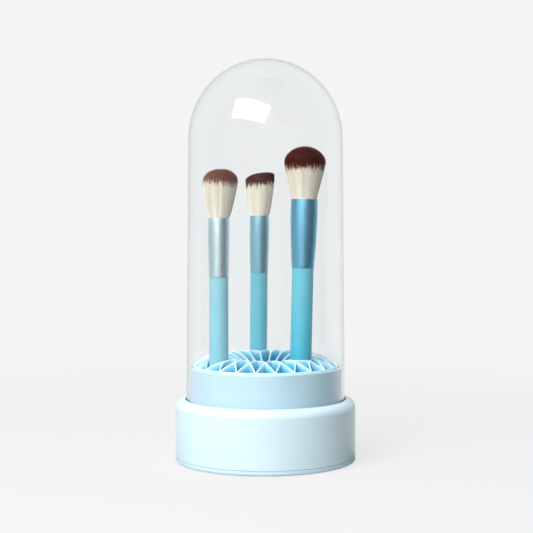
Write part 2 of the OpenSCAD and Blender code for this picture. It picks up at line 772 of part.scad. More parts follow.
// Thin metal tube, widest just below its mouth, with two crimp grooves near the handle.
module ferrule(i) {
    r0 = ferrule_low_d[i] / 2;
    r1 = ferrule_high_d[i] / 2;
    low = ferrule_low_z[i] - foot_z;
    high = ferrule_high_z[i] - foot_z;
    skin = 0.45;
    function outer(t) = r0 + (r1 - r0) * sin(90 * min(1, t * 1.1)) - 0.25 * pow(t, 8);
    color([0.55, 0.72, 0.78]) on_brush(i) rotate_extrude() polygon(concat(
        [for (k = [0:16]) let (t = k / 16) [outer(t), low + (high - low) * t]],
        [for (k = [16:-1:0]) let (t = k / 16) [outer(t) - skin, low + (high - low) * t]]
    ));
}

// Closed outline of a tuft: a root inside the ferrule, a widening belly and a domed or square tip.
module tuft(i, roundness = 0.9) {
    r_root = ferrule_high_d[i] / 2 - 1.2;
    r_mouth = ferrule_high_d[i] / 2 - 0.75;
    r_wide = tuft_d[i] / 2;
    mouth = ferrule_high_z[i] - foot_z;
    wide = tuft_wide_z[i] - foot_z;
    tip = tip_z[i] - foot_z;
    rotate_extrude() polygon(concat(
        [[0, mouth - 12], [r_root, mouth - 12], [r_root, mouth - 3]],
        [for (k = [0:8]) let (t = k / 8)
            [r_mouth + (r_wide - r_mouth) * pow(t, 0.85), mouth + (wide - mouth) * t]],
        [for (k = [1:10]) let (a = 9 * k) [r_wide * pow(cos(a), roundness), wide + (tip - wide) * sin(a)]]
    ));
}

module left_handle() { handle(0); }
module middle_handle() { handle(1); }
module right_handle() { handle(2); }
module left_ferrule() { ferrule(0); }
module middle_ferrule() { ferrule(1); }
module right_ferrule() { ferrule(2); }
module left_bristles() { color([0.95, 0.9, 0.8]) on_brush(0) tuft(0); }
module right_bristles() { color([0.95, 0.9, 0.8]) on_brush(2) tuft(2); }

// The middle tuft is flattened front to back and its tip slants up to the right.
module middle_bristles() {
    half_depth = 7.4;
    slant = 26;
    slant_from_x = 1;
    roundness = 0.45;
    color([0.95, 0.9, 0.8]) on_brush(1) difference() {
        intersection() {
            tuft(1, roundness);
            translate([-20, -half_depth, 0]) cube([40, 2 * half_depth, TALL]);
        }
        translate([slant_from_x, 0, tip_z[1] - foot_z - 0.6])
            rotate([0, -slant, 0]) translate([-40, -20, 0]) cube([80, 40, 20]);
    }
}

// ---- dome ----

function dome_side(inward) = concat(
    [[dome_d / 2 - inward, ledge_z + 0.1]],
    [for (k = [0:30]) let (a = 3 * k)
        [(dome_neck_d / 2 - inward) * cos(a), crown_z + (crown_h - inward) * sin(a)]]
);

module dust_dome() {
    outer = dome_side(0);
    inner = dome_side(dome_wall);
    color([0.9, 0.97, 1, 0.25]) rotate_extrude($fn = 128)
        polygon(concat(outer, [for (k = [len(inner) - 1:-1:0]) inner[k]]));
}

base_housing();
bottom_cover();
foot_pads();
cover_screws();
gear_plate();
plate_screws();
motor_can();
motor_end_cap();
motor_magnets();
motor_sleeve();
idler_axle();
upper_bearing();
lower_bush();
shaft_seal();
battery_cell();
battery_cradle();
circuit_board();
usb_socket();
tact_switch();
status_lens();
battery_leads();
motor_leads();
motor_shaft();
motor_armature();
motor_pinion();
compound_gear();
drive_shaft();
output_gear();
drive_hub();
shaft_clip();
wash_bowl();
scrub_mat();
rack_plate();
grip_pad();
left_handle();
left_ferrule();
left_bristles();
middle_handle();
middle_ferrule();
middle_bristles();
right_handle();
right_ferrule();
right_bristles();
dust_dome();
power_button();
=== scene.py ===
import json
import math

import bmesh
import bpy
import numpy as np
from mathutils import Matrix, Quaternion, Vector


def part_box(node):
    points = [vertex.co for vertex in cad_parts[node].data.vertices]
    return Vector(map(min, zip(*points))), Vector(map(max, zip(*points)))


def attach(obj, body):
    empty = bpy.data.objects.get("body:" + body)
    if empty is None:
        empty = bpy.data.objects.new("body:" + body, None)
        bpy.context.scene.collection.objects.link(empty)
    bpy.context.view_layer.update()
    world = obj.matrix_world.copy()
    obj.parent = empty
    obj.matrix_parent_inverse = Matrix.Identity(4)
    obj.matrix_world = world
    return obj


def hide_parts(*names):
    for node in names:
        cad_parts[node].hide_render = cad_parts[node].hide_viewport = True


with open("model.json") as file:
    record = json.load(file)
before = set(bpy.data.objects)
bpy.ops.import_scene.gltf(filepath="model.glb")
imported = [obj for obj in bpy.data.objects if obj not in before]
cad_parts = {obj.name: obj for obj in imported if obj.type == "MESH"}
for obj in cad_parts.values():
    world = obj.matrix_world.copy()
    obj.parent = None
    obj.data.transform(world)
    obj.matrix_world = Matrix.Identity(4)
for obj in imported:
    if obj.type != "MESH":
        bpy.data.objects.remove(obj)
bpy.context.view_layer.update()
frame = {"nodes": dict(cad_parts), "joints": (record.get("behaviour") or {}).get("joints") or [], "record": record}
MM = 0.001

# ---- what the frame says ----

JOINTS = {j["name"]: j for j in frame["joints"]}
BRUSHES = ("left", "middle", "right")


def brush_line(which):
    """A brush's foot and its direction, from its handle's box and the way that it lifts."""
    low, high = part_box(f"{which}_handle")
    way = Vector(JOINTS[f"{which}_brush_lift"]["axis"]).normalized()
    middle = (low + high) / 2
    return middle - way * ((middle.z - low.z) / way.z), way


def brush_height(which, node, end):
    """How far along a brush the low (0) or high (1) end of one of its pieces lies, from its foot."""
    foot, way = brush_line(which)
    return (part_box(f"{which}_{node}")[end].z - foot.z) / way.z


def upright(which):
    """The matrix that takes a brush built standing at the origin to its place."""
    foot, way = brush_line(which)
    return Matrix.Translation(foot) @ Vector((0, 0, 1)).rotation_difference(way).to_matrix().to_4x4()


def handle_radius(which):
    """Half the handle's width, from its box less what its lean adds."""
    low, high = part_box(f"{which}_handle")
    _, way = brush_line(which)
    spread = (high.x - low.x) + (high.y - low.y)
    return (spread - abs(way.x / way.z) * (high.z - low.z) - abs(way.y / way.z) * (high.z - low.z)) / 4


def tube_radius(which, node):
    """Largest radius of one of a brush's tubes, from its box less what its lean adds."""
    low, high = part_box(f"{which}_{node}")
    _, way = brush_line(which)
    lean = abs(way.x / way.z) * (high.z - low.z)
    return (high.x - low.x - lean) / 2


# ---- camera, light and floor ----

EYE = Vector((0.0006, -0.84737, 0.16004))
TILT = math.radians(2.645)
LENS = 92.16


def make_camera():
    data = bpy.data.cameras.new("camera")
    data.lens = LENS
    data.sensor_width = 36
    data.clip_start = 0.01
    camera = bpy.data.objects.new("camera", data)
    camera.location = EYE
    camera.rotation_euler = (math.pi / 2 - TILT, 0, 0)
    bpy.context.scene.collection.objects.link(camera)
    bpy.context.scene.camera = camera


KEY_TOWARDS = (-0.34, -0.70, 0.60)   # up in front, on the camera's left
KEY_TARGET = (0, 0, 0.2)
KEY_DISTANCE = 1.8
KEY_SIZE = (1.66, 0.90)
KEY_ROLL = math.radians(-8)          # about the line from the light to its target
KEY_WATTS = 50.0

PAPER = 0.905            # how bright the paper looks, as a linear value
PAPER_ALBEDO = 0.15      # the part of it that answers to the lights, and so takes shadows
PAPER_GLOW = 0.70        # the part of it that shadows don't reach
PAPER_BOUNCE = 0.36      # what it sends on to dull surfaces
FLOOR_HALF = 6.0
FADE_FROM, FADE_TO = 0.2, 0.6        # distances over which the floor turns into the backdrop

ROOM_TINT = (0.95, 0.98, 1.0)
ROOM_BEHIND, ROOM_LEFT, ROOM_RIGHT = 0.80, 0.60, 0.11
TURN_BEHIND = (-0.1, 0.6)            # Y of a direction, from the room's front to what lies behind
TURN_RIGHT = (-0.2, 0.4)             # X of a direction, from the room's left to its right


def key_light():
    """A rectangular soft light."""
    data = bpy.data.lights.new("key", "AREA")
    data.shape = "RECTANGLE"
    data.size, data.size_y = KEY_SIZE
    data.energy = KEY_WATTS
    light = bpy.data.objects.new("key", data)
    way = Vector(KEY_TOWARDS).normalized()
    light.location = Vector(KEY_TARGET) + way * KEY_DISTANCE
    light.rotation_euler = (way.to_track_quat("Z", "Y") @ Quaternion((0, 0, 1), KEY_ROLL)).to_euler()
    bpy.context.scene.collection.objects.link(light)


def value_range(nt, value, start, end, low, high):
    """value, remapped smoothly from start..end to low..high."""
    node = nt.nodes.new("ShaderNodeMapRange")
    node.interpolation_type = "SMOOTHSTEP"
    for name, v in (("From Min", start), ("From Max", end), ("To Min", low), ("To Max", high)):
        node.inputs[name].default_value = v
    nt.links.new(value, node.inputs["Value"])
    return node.outputs[0]


def without_bounces(nt, *kinds):
    """1 for rays that have had no bounce of these kinds on their way from the camera, else 0."""
    path = nt.nodes.new("ShaderNodeLightPath")
    total = nt.nodes.new("ShaderNodeMath")
    for socket, kind in zip(total.inputs, kinds + kinds):
        nt.links.new(path.outputs[f"{kind} Depth"], socket)
    none = nt.nodes.new("ShaderNodeMath")
    none.operation = "LESS_THAN"
    none.inputs[1].default_value = 0.5
    nt.links.new(total.outputs[0], none.inputs[0])
    return none.outputs[0]


def mixed(nt, factor, a, b):
    mix = nt.nodes.new("ShaderNodeMixShader")
    for socket, value in zip(mix.inputs, (factor, a, b)):
        nt.links.new(value, socket)
    return mix.outputs[0]


def room_strength(nt, direction):
    """How bright the room is: white behind the object, light on the camera's left, dim on its right."""
    split = nt.nodes.new("ShaderNodeSeparateXYZ")
    nt.links.new(direction, split.inputs[0])
    blend = nt.nodes.new("ShaderNodeMix")
    nt.links.new(value_range(nt, split.outputs["Y"], *TURN_BEHIND, 0, 1), blend.inputs[0])
    nt.links.new(value_range(nt, split.outputs["X"], *TURN_RIGHT, ROOM_LEFT, ROOM_RIGHT), blend.inputs[2])
    blend.inputs[3].default_value = ROOM_BEHIND
    return blend.outputs[0]


def make_lights():
    """The key light, and a room that shows as paper where the camera sees it straight or through glass."""
    key_light()
    world = bpy.data.worlds.new("studio")
    bpy.context.scene.world = world
    world.use_nodes = True
    nt = world.node_tree
    paper = nt.nodes["Background"]
    paper.inputs["Color"].default_value = (PAPER, PAPER, PAPER, 1)
    room = nt.nodes.new("ShaderNodeBackground")
    room.inputs["Color"].default_value = (*ROOM_TINT, 1)
    direction = nt.nodes.new("ShaderNodeTexCoord").outputs["Generated"]
    nt.links.new(room_strength(nt, direction), room.inputs["Strength"])
    nt.links.new(mixed(nt, without_bounces(nt, "Diffuse", "Glossy"), room.outputs[0], paper.outputs[0]),
                 nt.nodes["World Output"].inputs["Surface"])


def make_floor():
    """Pale paper that takes a soft shadow near the object and fades into the backdrop further out."""
    half = FLOOR_HALF
    corners = [(-half, -half, 0), (half, -half, 0), (half, half, 0), (-half, half, 0)]
    floor = mesh_object("studio_floor", corners, [(0, 1, 2, 3)])
    material = bpy.data.materials.new("paper")
    material.use_nodes = True
    nt = material.node_tree
    nt.nodes.remove(nt.nodes["Principled BSDF"])
    paper = nt.nodes.new("ShaderNodeBsdfDiffuse")
    paper.inputs["Color"].default_value = (PAPER_ALBEDO, PAPER_ALBEDO, PAPER_ALBEDO, 1)

    def glow(strength):
        node = nt.nodes.new("ShaderNodeEmission")
        if isinstance(strength, bpy.types.NodeSocket):
            nt.links.new(strength, node.inputs["Strength"])
        else:
            node.inputs["Strength"].default_value = strength
        return node.outputs[0]

    def measured(operation, vector):
        node = nt.nodes.new("ShaderNodeVectorMath")
        node.operation = operation
        nt.links.new(vector, node.inputs[0])
        return node.outputs["Value" if operation == "LENGTH" else "Vector"]

    lit = nt.nodes.new("ShaderNodeAddShader")
    nt.links.new(paper.outputs[0], lit.inputs[0])
    nt.links.new(glow(PAPER_GLOW), lit.inputs[1])
    where = nt.nodes.new("ShaderNodeTexCoord").outputs["Object"]
    fade = value_range(nt, measured("LENGTH", where), FADE_FROM, FADE_TO, 0, 1)
    shown = mixed(nt, fade, lit.outputs[0], glow(PAPER))
    mirrored = glow(room_strength(nt, measured("NORMALIZE", where)))
    shown = mixed(nt, without_bounces(nt, "Glossy"), mirrored, shown)
    nt.links.new(mixed(nt, without_bounces(nt, "Diffuse"), glow(PAPER_BOUNCE), shown),
                 nt.nodes["Material Output"].inputs["Surface"])
    floor.data.materials.append(material)


# ---- meshes ----

def mesh_object(name, verts, faces, smooth=False):
    mesh = bpy.data.meshes.new(name)
    mesh.from_pydata([tuple(v) for v in verts], [], [tuple(f) for f in faces])
    mesh.validate()
    mesh.update()
    if smooth:
        mesh.shade_smooth()
    obj = bpy.data.objects.new(name, mesh)
    bpy.context.scene.collection.objects.link(obj)
    return obj


def lathe(name, profile, segments):
    """A surface of revolution about Z. The profile is a closed loop of (radius, height)."""
    verts, rows = [], []
    for r, z in profile:
        if r < 1e-9:
            rows.append([len(verts)] * segments)
            verts.append((0, 0, z))
        else:
            rows.append(list(range(len(verts), len(verts) + segments)))
            verts += [(r * math.cos(2 * math.pi * k / segments), r * math.sin(2 * math.pi * k / segments), z)
                      for k in range(segments)]
    faces = []
    for i, row in enumerate(rows):
        after = rows[(i + 1) % len(rows)]
        for k in range(segments):
            n = (k + 1) % segments
            loop = [row[k], row[n], after[n], after[k]]
            loop = [v for j, v in enumerate(loop) if v != loop[j - 1]]
            if len(loop) >= 3:
                faces.append(loop)
    return mesh_object(name, verts, faces, smooth=True)


def weld(obj, distance):
    bm = bmesh.new()
    bm.from_mesh(obj.data)
    bmesh.ops.remove_doubles(bm, verts=bm.verts, dist=distance)
    bmesh.ops.recalc_face_normals(bm, faces=bm.faces)
    bm.to_mesh(obj.data)
    bm.free()


def paint(obj, name, values):
    """Store one number per vertex for the materials to read."""
    layer = obj.data.attributes.new(name, "FLOAT", "POINT")
    layer.data.foreach_set("value", np.asarray(values, np.float32).ravel())


# ---- materials ----

DOME_IOR = 1.38          # lower than real acrylic's, for edges no darker than they should look
ACRYLIC_IOR = 1.49
SILICONE_IOR = 1.41
HANDLE_FADE = (0.055, 0.112)         # heights between which a handle goes from its deep colour to its pale


class Look:
    """A node material built up step by step."""

    def __init__(self, name, color=(0.8, 0.8, 0.8), roughness=0.4, **inputs):
        self.material = bpy.data.materials.new(name)
        self.material.use_nodes = True
        self.tree = self.material.node_tree
        self.shader = self.tree.nodes["Principled BSDF"]
        self.set("Base Color", (*color, 1))
        self.set("Roughness", roughness)
        for key, value in inputs.items():
            self.set(key.replace("_", " "), value)

    def set(self, socket, value):
        self.shader.inputs[socket].default_value = value

    def node(self, kind, **values):
        node = self.tree.nodes.new("ShaderNode" + kind)
        for key, value in values.items():
            if hasattr(node, key):
                setattr(node, key, value)
            else:
                node.inputs[key.replace("_", " ")].default_value = value
        return node

    def link(self, a, b):
        self.tree.links.new(a, b)
        return self

    def coordinates(self, stretch=(1, 1, 1)):
        where = self.node("TexCoord")
        mapping = self.node("Mapping")
        mapping.inputs["Scale"].default_value = stretch
        self.link(where.outputs["Object"], mapping.inputs["Vector"])
        return mapping.outputs[0]

    def noise(self, scale, detail=3, stretch=(1, 1, 1)):
        noise = self.node("TexNoise", Scale=scale, Detail=detail)
        self.link(self.coordinates(stretch), noise.inputs["Vector"])
        return noise.outputs["Fac"]

    def ranged(self, value, low, high, start=0.0, end=1.0):
        """value, remapped from start..end to low..high."""
        node = self.node("MapRange")
        node.inputs["From Min"].default_value = start
        node.inputs["From Max"].default_value = end
        node.inputs["To Min"].default_value = low
        node.inputs["To Max"].default_value = high
        self.link(value, node.inputs["Value"])
        return node.outputs[0]

    def ramp(self, value, stops):
        node = self.node("ValToRGB")
        while len(node.color_ramp.elements) < len(stops):
            node.color_ramp.elements.new(1.0)
        for element, (at, color) in zip(node.color_ramp.elements, stops):
            element.position = at
            element.color = (*color, 1)
        self.link(value, node.inputs["Fac"])
        return node.outputs["Color"]

    def mix(self, factor, a, b, blend="MIX"):
        node = self.node("Mix", data_type="RGBA", blend_type=blend)
        for value, socket in ((factor, 0), (a, 6), (b, 7)):
            if isinstance(value, bpy.types.NodeSocket):
                self.link(value, node.inputs[socket])
            else:
                node.inputs[socket].default_value = value if socket == 0 else (*value, 1)
        return node.outputs[2]

    def bump(self, height, strength, distance=0.0002):
        bump = self.node("Bump", Strength=strength, Distance=distance)
        self.link(height, bump.inputs["Height"])
        self.link(bump.outputs[0], self.shader.inputs["Normal"])
        return self

    def color(self, socket):
        return self.link(socket, self.shader.inputs["Base Color"])

    def rough(self, socket):
        return self.link(socket, self.shader.inputs["Roughness"])


def shade(color, k):
    return tuple(min(1.0, c * k) for c in color)


def halfway(a, b):
    return tuple((p + q) / 2 for p, q in zip(a, b))


def moulded(name, color, roughness=0.32, grain=900, relief=0.05, vary=0.03, **inputs):
    """Moulded plastic: faint flow marks in its colour, a fine skin and slightly uneven gloss."""
    look = Look(name, color, roughness, **inputs)
    flow = look.noise(28, 4)
    look.color(look.ramp(flow, [(0.3, shade(color, 1 - vary)), (0.7, shade(color, 1 + vary))]))
    look.rough(look.ranged(look.noise(140, 5), roughness * 0.85, roughness * 1.15))
    return look.bump(look.noise(grain, 2), relief, 0.00005)


def metal(name, color, roughness=0.3, stretch=(1, 1, 1), relief=0.12):
    """Metal with fine turning or drawing lines."""
    look = Look(name, color, roughness, Metallic=1.0)
    lines = look.noise(900, 3, stretch)
    look.color(look.ramp(lines, [(0.3, shade(color, 0.9)), (0.7, shade(color, 1.1))]))
    look.rough(look.ranged(lines, roughness * 0.8, roughness * 1.25))
    return look.bump(lines, relief, 0.00004)


def clear_plastic(name, tint, roughness=0.0):
    """Clear acrylic. Lamp light and dull bounces pass straight through, so what is inside is lit."""
    look = Look(name, tint, roughness, IOR=DOME_IOR)
    look.set("Transmission Weight", 1.0)
    path = look.node("LightPath")
    through = look.node("BsdfTransparent")
    through.inputs["Color"].default_value = (0.97, 0.98, 0.985, 1)
    shader = look.shader.outputs[0]
    for ray in ("Is Diffuse Ray", "Is Shadow Ray"):
        shader = mixed(look.tree, path.outputs[ray], shader, through.outputs[0])
    look.link(shader, look.tree.nodes["Material Output"].inputs["Surface"])
    return look


ICY = (0.63, 0.81, 0.875)
BOWL_BLUE = (0.52, 0.72, 0.81)
RIM_BLUE = (0.57, 0.77, 0.86)


def handle_look(name, high, low):
    """Frosted acrylic rod: paler at the top, where light gathers, and deeper towards the pad."""
    look = Look(name, high, 0.34, IOR=ACRYLIC_IOR)
    look.set("Subsurface Weight", 0.55)
    look.set("Subsurface Radius", (0.002, 0.006, 0.008))
    look.set("Subsurface Scale", 1.0)
    where = look.node("TexCoord")
    split = look.node("SeparateXYZ")
    look.link(where.outputs["Object"], split.inputs[0])
    up = look.ranged(split.outputs["Z"], 0.0, 1.0, *HANDLE_FADE)
    base = look.ramp(up, [(0.0, low), (0.35, halfway(low, high)), (1.0, high)])
    cloud = look.ranged(look.noise(90, 4), 0.94, 1.06)
    value = look.node("HueSaturation")
    look.link(base, value.inputs["Color"])
    look.link(cloud, value.inputs["Value"])
    look.color(value.outputs[0])
    look.rough(look.ranged(look.noise(260, 4), 0.28, 0.42))
    return look.bump(look.noise(1500, 2), 0.12, 0.00004)


def ferrule_look(name, color, roughness=0.38):
    """Anodised tube, satin, with barely visible lengthwise drawing lines."""
    look = Look(name, color, roughness, Metallic=1.0)
    lines = look.noise(1400, 3, (1, 1, 0.03))
    look.color(look.ramp(lines, [(0.3, shade(color, 0.97)), (0.7, shade(color, 1.03))]))
    look.rough(look.ranged(look.noise(160, 4), roughness * 0.9, roughness * 1.1))
    return look.bump(lines, 0.03, 0.00002)


def make_looks():
    looks = {
        "icy_shell": moulded("icy_shell", ICY, 0.30, Coat_Weight=0.25, Coat_Roughness=0.12),
        "blue_shell": moulded("blue_shell", RIM_BLUE, 0.34),
        "bowl_plastic": moulded("bowl_plastic", BOWL_BLUE, 0.30, Coat_Weight=0.2, Coat_Roughness=0.15),
        "dark_rubber": moulded("dark_rubber", (0.025, 0.027, 0.03), 0.75, 500, 0.2, 0.2),
        "natural_plastic": moulded("natural_plastic", (0.78, 0.77, 0.72), 0.5),
        "black_plastic": moulded("black_plastic", (0.02, 0.02, 0.022), 0.45),
        "gear_plastic": moulded("gear_plastic", (0.80, 0.77, 0.66), 0.42),
        "ferrite": moulded("ferrite", (0.035, 0.035, 0.038), 0.6, 700, 0.3, 0.15),
        "battery_sleeve": moulded("battery_sleeve", (0.03, 0.14, 0.42), 0.25, 120, 0.25, 0.06),
        "solder_mask": moulded("solder_mask", (0.012, 0.11, 0.05), 0.3, 260, 0.3, 0.12),
        "lead_sleeve": moulded("lead_sleeve", (0.42, 0.02, 0.02), 0.4, 400, 0.2, 0.1),
        "pad_silicone": moulded("pad_silicone", (0.30, 0.68, 0.84), 0.5, 500, 0.1, 0.05),
        "clear_lens": clear_plastic("clear_lens", (0.95, 0.97, 0.97), roughness=0.08),
        "zinc_steel": metal("zinc_steel", (0.62, 0.64, 0.66), 0.35),
        "polished_steel": metal("polished_steel", (0.70, 0.71, 0.73), 0.16, relief=0.05),
        "sintered_bronze": metal("sintered_bronze", (0.52, 0.31, 0.12), 0.42, relief=0.25),
        "copper_winding": metal("copper_winding", (0.58, 0.24, 0.09), 0.3, (0.1, 0.1, 6), 0.4),
        "silver_ferrule": ferrule_look("silver_ferrule", (0.55, 0.68, 0.71)),
        "teal_ferrule": ferrule_look("teal_ferrule", (0.31, 0.57, 0.66)),
        "blue_ferrule": ferrule_look("blue_ferrule", (0.19, 0.47, 0.64)),
    }
    return {slot: look.material for slot, look in looks.items()}


LOOKS = make_looks()
HANDLE_LOOKS = {
    "left": handle_look("left_handle_acrylic", (0.27, 0.53, 0.59), (0.23, 0.54, 0.64)).material,
    "middle": handle_look("middle_handle_acrylic", (0.18, 0.53, 0.62), (0.13, 0.51, 0.62)).material,
    "right": handle_look("right_handle_acrylic", (0.15, 0.49, 0.58), (0.02, 0.40, 0.53)).material,
}


def finish_cad_nodes():
    """Give every CAD node the material of its slot."""
    slots = {s["node"]: s["material_slot"] for s in frame["record"]["subparts"]}
    for node, obj in frame["nodes"].items():
        material = LOOKS.get(slots[node])
        if node.endswith("_handle"):
            material = HANDLE_LOOKS[node.split("_")[0]]
        if material is None:
            continue
        obj.data.materials.clear()
        obj.data.materials.append(material)


def stand_for(piece, node, body, material):
    """piece rides on body, takes node's place and gets its material."""
    piece.data.materials.clear()
    piece.data.materials.append(material)
    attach(piece, body)
    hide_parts(node)


# ---- dome ----

DOME_WALL = 1.2 * MM
DOME_NECK_R = 47.8 * MM
CROWN_H = 49.6 * MM
EDGE_ROUND = 0.5 * MM
CROWN_STEPS, WALL_STEPS = 64, 24


def make_dome():
    low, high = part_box("dust_dome")
    foot_r, crown_z = high.x, high.z - CROWN_H

    def side(inward):
        """The dome's profile from the foot to the top, moved inwards."""
        r0, r1, z0 = foot_r - inward, DOME_NECK_R - inward, low.z + EDGE_ROUND
        profile = [(r0 + (r1 - r0) * k / WALL_STEPS, z0 + (crown_z - z0) * k / WALL_STEPS)
                   for k in range(WALL_STEPS)]
        for k in range(CROWN_STEPS):
            a = math.pi / 2 * k / CROWN_STEPS
            profile.append((r1 * math.cos(a), crown_z + (CROWN_H - inward) * math.sin(a)))
        return profile + [(0.0, crown_z + CROWN_H - inward)]

    middle_r, half = foot_r - DOME_WALL / 2, DOME_WALL / 2 - EDGE_ROUND
    foot = [(middle_r - half, low.z), (middle_r + half, low.z)]
    dome = lathe("clear_dome_shell", side(0) + side(DOME_WALL)[::-1] + foot, 256)
    look = clear_plastic("clear_dome", (0.985, 0.995, 1.0))
    look.bump(look.noise(9, 2), 0.02, 0.0006)
    stand_for(dome, "dust_dome", "dome", look.material)


# ---- grip pad ----

PETALS = 24
PITCH = 2 * math.pi / PETALS
WELL_R = 7.5 * MM         # ring round the open middle
FIN_R = 28 * MM           # the radial fins end here
ARM_R = 36 * MM           # apex of each petal
FIN_T = 0.9 * MM
SKIN = 1.2 * MM           # floor of the cells
RIM_T = 0.5 * MM
CREST_R = 33 * MM         # the fins are tallest here
SUNK = 13 * MM            # how far they drop towards the middle
FALL = 6.4 * MM           # how far they drop towards the rim
STEEPNESS = 1.6
HANDLE_PLAY = 0.15 * MM
PUSH_REACH = 1.9          # handles push fins aside out to this many of their radii
PUSH_POWER = 2.2
WELD = 0.02 * MM

# the rings of a cell: how far each lies below the fins' tops in mm, and its share of the fins' thickness
CELL_RINGS = ((0, 0), (0.06, 0.45), (0.25, 0.8), (0.6, 1.0), (3, 1.05), (8, 1.15), (14, 1.3), (99, 1.6))


def polar(r, a):
    return np.array((r * math.cos(a), r * math.sin(a)))


def inset(loop, d):
    """The points of an anticlockwise loop moved inwards by d."""
    before, after = np.roll(loop, 1, 0), np.roll(loop, -1, 0)
    u = (loop - before) / np.linalg.norm(loop - before, axis=1)[:, None]
    v = (after - loop) / np.linalg.norm(after - loop, axis=1)[:, None]
    normal = np.stack([-u[:, 1] - v[:, 1], u[:, 0] + v[:, 0]], 1)
    return loop + normal * (d / np.maximum(0.25, 1 + (u * v).sum(1)))[:, None]


def subdivided(corners, steps):
    out = []
    for i, a in enumerate(corners):
        b = corners[(i + 1) % len(corners)]
        out += [a + (b - a) * k / steps for k in range(steps)]
    return np.array(out)


